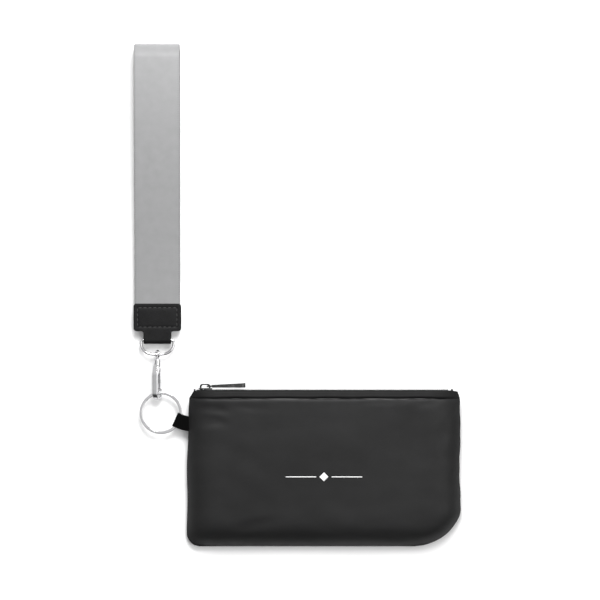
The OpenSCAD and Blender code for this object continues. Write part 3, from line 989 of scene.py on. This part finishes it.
class POUCH_OT_eye(bpy.types.Operator):
    """Bend the swivel eye and turn its collar"""

    bl_idname = "pouch.eye"
    bl_label = "Swivel eye"
    bl_options = {"REGISTER", "UNDO"}

    def execute(self, context):
        wire = 0.75 * MM
        radius = 2.2 * MM
        centre = Vector((CHAIN_X, EYE_HIGH.y - radius - wire, CHAIN_Z))
        turn = Matrix.Rotation(math.radians(30), 3, "Y")
        points = []
        for i in range(64):
            a = 2 * math.pi * i / 64
            points.append(centre + turn @ Vector((0, radius * math.cos(a), radius * math.sin(a))))
        shape = bmesh.new()
        normal = turn @ X_AXIS
        sweep(shape, frames_along(points, normal, closed=True), round_section(wire), closed=True)
        collar = bmesh.new()
        foot = EYE_LOW.y
        top = centre.y - radius
        profile = (
            (0, 0), (0, 1.3 * MM), (0.1 * MM, 1.4 * MM), (1.1 * MM, 1.4 * MM), (1.2 * MM, 1.3 * MM),
            (1.2 * MM, 0.9 * MM), (top - foot - 0.3 * MM, 0.9 * MM), (top - foot, 1.05 * MM),
            (top - foot, 0),
        )
        lathe(collar, profile, Vector((CHAIN_X, foot, CHAIN_Z)), Y_AXIS)
        mesh = bpy.data.meshes.new("collar")
        collar.to_mesh(mesh)
        collar.free()
        shape.from_mesh(mesh)
        bpy.data.meshes.remove(mesh)
        place_piece("eye_of_wire", shape, "eye", "hardware", "swivel_eye")
        return {"FINISHED"}


class POUCH_OT_dee(bpy.types.Operator):
    """Bend the D-ring from round wire"""

    bl_idname = "pouch.dee"
    bl_label = "D-ring"
    bl_options = {"REGISTER", "UNDO"}

    def execute(self, context):
        wire = (DEE_HIGH.z - DEE_LOW.z) / 2
        half = (DEE_HIGH.x - DEE_LOW.x) / 2 - wire
        top = DEE_HIGH.y - wire
        bottom = DEE_LOW.y + wire
        corner_r, bow_r = 1.6 * MM, 7.5 * MM
        centres = (
            (half - corner_r, top - corner_r, corner_r, 0),
            (-half + corner_r, top - corner_r, corner_r, 90),
            (-half + bow_r, bottom + bow_r, bow_r, 180),
            (half - bow_r, bottom + bow_r, bow_r, 270),
        )
        points = []
        for cx, cy, radius, begin in centres:
            for i in range(15):
                a = math.radians(begin + 90 * i / 14)
                on_arc = (CHAIN_X + cx + radius * math.cos(a), cy + radius * math.sin(a), CHAIN_Z)
                points.append(Vector(on_arc))
        shape = bmesh.new()
        sweep(shape, frames_along(points, Z_AXIS, closed=True), round_section(wire, 24), closed=True)
        place_piece("dee_of_wire", shape, "dring", "hardware", "d_ring")
        return {"FINISHED"}


class POUCH_OT_leather(bpy.types.Operator):
    """Fold the leather tab and sew a rectangle of stitches round it"""

    bl_idname = "pouch.leather"
    bl_label = "Leather tab"
    bl_options = {"REGISTER", "UNDO"}

    def execute(self, context):
        mesh = cast_mesh("leather_tab", 0.26 * MM, 4)
        low, high = self.seam_corners()
        self.press(mesh, low, high)
        place_mesh("tab_leather", mesh, "strap", "leather", "leather_tab")
        self.stitches(low, high)
        return {"FINISHED"}

    def press(self, mesh, low, high):
        """The thread pulls a groove into both faces, and the leather inside it swells a little"""
        for vert in mesh.vertices:
            x, y, z = vert.co
            side = 1 if z > CHAIN_Z else -1
            near = abs(self.from_seam(x, y, low, high))
            groove = 0.28 * MM * bell(near, 0.55 * MM)
            inside = low.x < x < high.x and low.y < y < high.y
            crown = 0.12 * MM if inside else 0.0
            if abs(z - CHAIN_Z) > 2.2 * MM:
                vert.co.z -= side * (groove - crown * (1 - bell(near, 2 * MM)))

    @staticmethod
    def seam_corners():
        """The lower left and upper right corners of the stitched rectangle"""
        inset = 2.7 * MM
        wide_bottom = TAB_HIGH.y - 18.1 * MM
        low = Vector((TAB_LOW.x + inset, wide_bottom + inset, 0))
        high = Vector((TAB_HIGH.x - inset, TAB_HIGH.y - inset, 0))
        return low, high

    @staticmethod
    def from_seam(x, y, low, high):
        """Distance to the stitched rectangle"""
        inside = min(x - low.x, high.x - x, y - low.y, high.y - y)
        if inside >= 0:
            return inside
        dx = max(low.x - x, 0, x - high.x)
        dy = max(low.y - y, 0, y - high.y)
        return math.hypot(dx, dy)

    def stitches(self, low, high):
        """Slanted stitches along the rectangle, on both faces of the tab"""
        shape = bmesh.new()
        length = look().stitch_length
        pitch = length + 0.75 * MM
        for side in (1, -1):
            z = CHAIN_Z + side * ((TAB_HIGH.z - TAB_LOW.z) / 2 - 0.16 * MM)
            for start, end in (
                ((low.x, low.y), (high.x, low.y)),
                ((high.x, low.y), (high.x, high.y)),
                ((high.x, high.y), (low.x, high.y)),
                ((low.x, high.y), (low.x, low.y)),
            ):
                a, b = Vector((*start, z)), Vector((*end, z))
                count = round((b - a).length / pitch)
                turn = math.atan2(b.y - a.y, b.x - a.x)
                for i in range(count):
                    middle = a.lerp(b, (i + 0.5) / count)
                    place = (
                        Matrix.Translation(middle)
                        @ Matrix.Rotation(turn + math.radians(4), 4, "Z")
                        @ Matrix.Diagonal((length / 2, 0.3 * MM, 0.24 * MM, 1))
                    )
                    bmesh.ops.create_uvsphere(shape, u_segments=10, v_segments=7, radius=1, matrix=place)
        place_piece("tab_thread", shape, "strap", "thread", "tab_stitching")


class POUCH_OT_strap(bpy.types.Operator):
    """Loop the webbing of the wrist strap"""

    bl_idname = "pouch.strap"
    bl_label = "Wrist strap"
    bl_options = {"REGISTER", "UNDO"}

    def execute(self, context):
        thick = WEBBING_THICKNESS
        gap = thick / 2 + 0.05 * MM
        bend = (STRAP_HIGH.z - thick) / 2
        bend_y = STRAP_HIGH.y - bend - thick / 2
        top_of_tab = TAB_HIGH.y
        floor_z = thick / 2

        line = [(STRAP_LOW.y + 0.2 * MM, CHAIN_Z - gap)]
        for i in range(21):
            line.append((top_of_tab + 22 * MM * i / 20, mix(CHAIN_Z - gap, floor_z, ease(i / 20))))
        for i in range(1, 16):
            line.append((mix(top_of_tab + 22 * MM, bend_y, i / 16), floor_z))
        for i in range(37):
            a = math.pi * i / 36
            line.append((bend_y + bend * math.sin(a), floor_z + bend * (1 - math.cos(a))))
        for i in range(1, 49):
            s = i / 48
            line.append((mix(bend_y, top_of_tab, s), mix(floor_z + 2 * bend, CHAIN_Z + gap, ease(s))))
        line.append((STRAP_LOW.y + 0.2 * MM, CHAIN_Z + gap))
        points = [Vector(((STRAP_LOW.x + STRAP_HIGH.x) / 2, y, z)) for y, z in line]
        width = STRAP_HIGH.x - STRAP_LOW.x
        shape = bmesh.new()
        sweep(shape, frames_along(points, X_AXIS), band_section(width, thick, 12))
        piece = place_piece("strap_webbing", shape, "strap", "webbing", "wrist_strap")
        return {"FINISHED"}


# Each light's name, place, size in metres and power in watts
LIGHTS = (
    ("key", (-0.02, 0.44, 0.42), 0.32, 4.0),
    ("fill", (0.8, -0.1, 1.3), 1.2, 7),
)
LIT_POINT = Vector((-0.02, 0.08, 0))
BRIGHT_SIDE = (0.0, 0.6, 0.8)
SEEN_WIDTH = 393 * MM
VIEW_SHIFT = Vector((1.75 * MM, -3.0 * MM, 0))
VIEW_HEIGHT = 8 * MM


class POUCH_OT_stage(bpy.types.Operator):
    """Set up the pale floor, the soft light and the camera"""

    bl_idname = "pouch.stage"
    bl_label = "Stage"
    bl_options = {"REGISTER", "UNDO"}

    def execute(self, context):
        self.floor()
        self.sky()
        for settings in LIGHTS:
            self.light(*settings)
        self.camera()
        bpy.context.scene.view_settings.view_transform = "Standard"
        return {"FINISHED"}

    def floor(self):
        shape = bmesh.new()
        bmesh.ops.create_grid(shape, x_segments=1, y_segments=1, size=6)
        for vert in shape.verts:
            vert.co.z = -0.05 * MM
        mesh = bpy.data.meshes.new("floor")
        shape.to_mesh(mesh)
        shape.free()
        material, shader = new_material("floor")
        shader.inputs["Base Color"].default_value = grey(0.95)
        shader.inputs["Roughness"].default_value = 0.9
        shader.inputs["Specular IOR Level"].default_value = 0.0
        mesh.materials.append(material)
        floor = bpy.data.objects.new("floor", mesh)
        bpy.context.scene.collection.objects.link(floor)

    def sky(self):
        """A studio that is bright above and behind, and dark in front, so that metal shows its shape"""
        world = bpy.data.worlds.new("studio")
        world.use_nodes = True
        tree = world.node_tree
        direction = add_node(tree, "ShaderNodeTexCoord").outputs["Generated"]
        towards = add_node(tree, "ShaderNodeVectorMath", {"operation": "DOT_PRODUCT"}, i0=direction)
        towards.inputs[1].default_value = BRIGHT_SIDE
        colour = ramp(tree, towards.outputs["Value"], 0.25, 0.55, grey(0.09), grey(1.0))
        tree.links.new(colour, tree.nodes["Background"].inputs["Color"])
        tree.nodes["Background"].inputs["Strength"].default_value = 0.85
        bpy.context.scene.world = world

    def light(self, name, place, size, power):
        lamp = bpy.data.lights.new(name, "AREA")
        lamp.shape = "DISK"
        lamp.size = size
        lamp.energy = power
        made = bpy.data.objects.new(name, lamp)
        made.location = place
        made.visible_camera = False
        made.rotation_mode = "QUATERNION"
        made.rotation_quaternion = (LIT_POINT - Vector(place)).to_track_quat("-Z", "Y")
        bpy.context.scene.collection.objects.link(made)

    def camera(self):
        """A long lens that looks straight down"""
        low, high = cad_bounds
        lens = bpy.data.cameras.new("camera")
        lens.lens = 200
        lens.sensor_width = 36
        lens.clip_end = 20
        middle = Vector(((low.x + high.x) / 2, (low.y + high.y) / 2, VIEW_HEIGHT)) + VIEW_SHIFT
        made = bpy.data.objects.new("camera", lens)
        made.location = middle + Z_AXIS * (SEEN_WIDTH * lens.lens / lens.sensor_width)
        bpy.context.scene.collection.objects.link(made)
        bpy.context.scene.camera = made


class POUCH_PT_panel(bpy.types.Panel):
    """Lists the pieces of the pouch"""

    bl_idname = "POUCH_PT_panel"
    bl_label = "Zippered pouch"
    bl_space_type = "VIEW_3D"
    bl_region_type = "UI"
    bl_category = "Pouch"

    def draw(self, context):
        for name in PouchLook.__annotations__:
            self.layout.prop(context.scene.pouch_look, name)
        for operator in OPERATORS:
            self.layout.operator(operator.bl_idname)


OPERATORS = (
    POUCH_OT_stage,
    POUCH_OT_cloth,
    POUCH_OT_ornament,
    POUCH_OT_zipper,
    POUCH_OT_slider,
    POUCH_OT_ribbon,
    POUCH_OT_split_ring,
    POUCH_OT_hook,
    POUCH_OT_eye,
    POUCH_OT_dee,
    POUCH_OT_leather,
    POUCH_OT_strap,
)
CLASSES = (PouchLook, *OPERATORS, POUCH_PT_panel)


def register():
    for cls in CLASSES:
        bpy.utils.register_class(cls)
    bpy.types.Scene.pouch_look = bpy.props.PointerProperty(type=PouchLook)


def unregister():
    del bpy.types.Scene.pouch_look
    for cls in reversed(CLASSES):
        bpy.utils.unregister_class(cls)


def main():
    register()
    for operator in OPERATORS:
        group, name = operator.bl_idname.split(".")
        getattr(getattr(bpy.ops, group), name)()


if __name__ == "__main__":
    main()
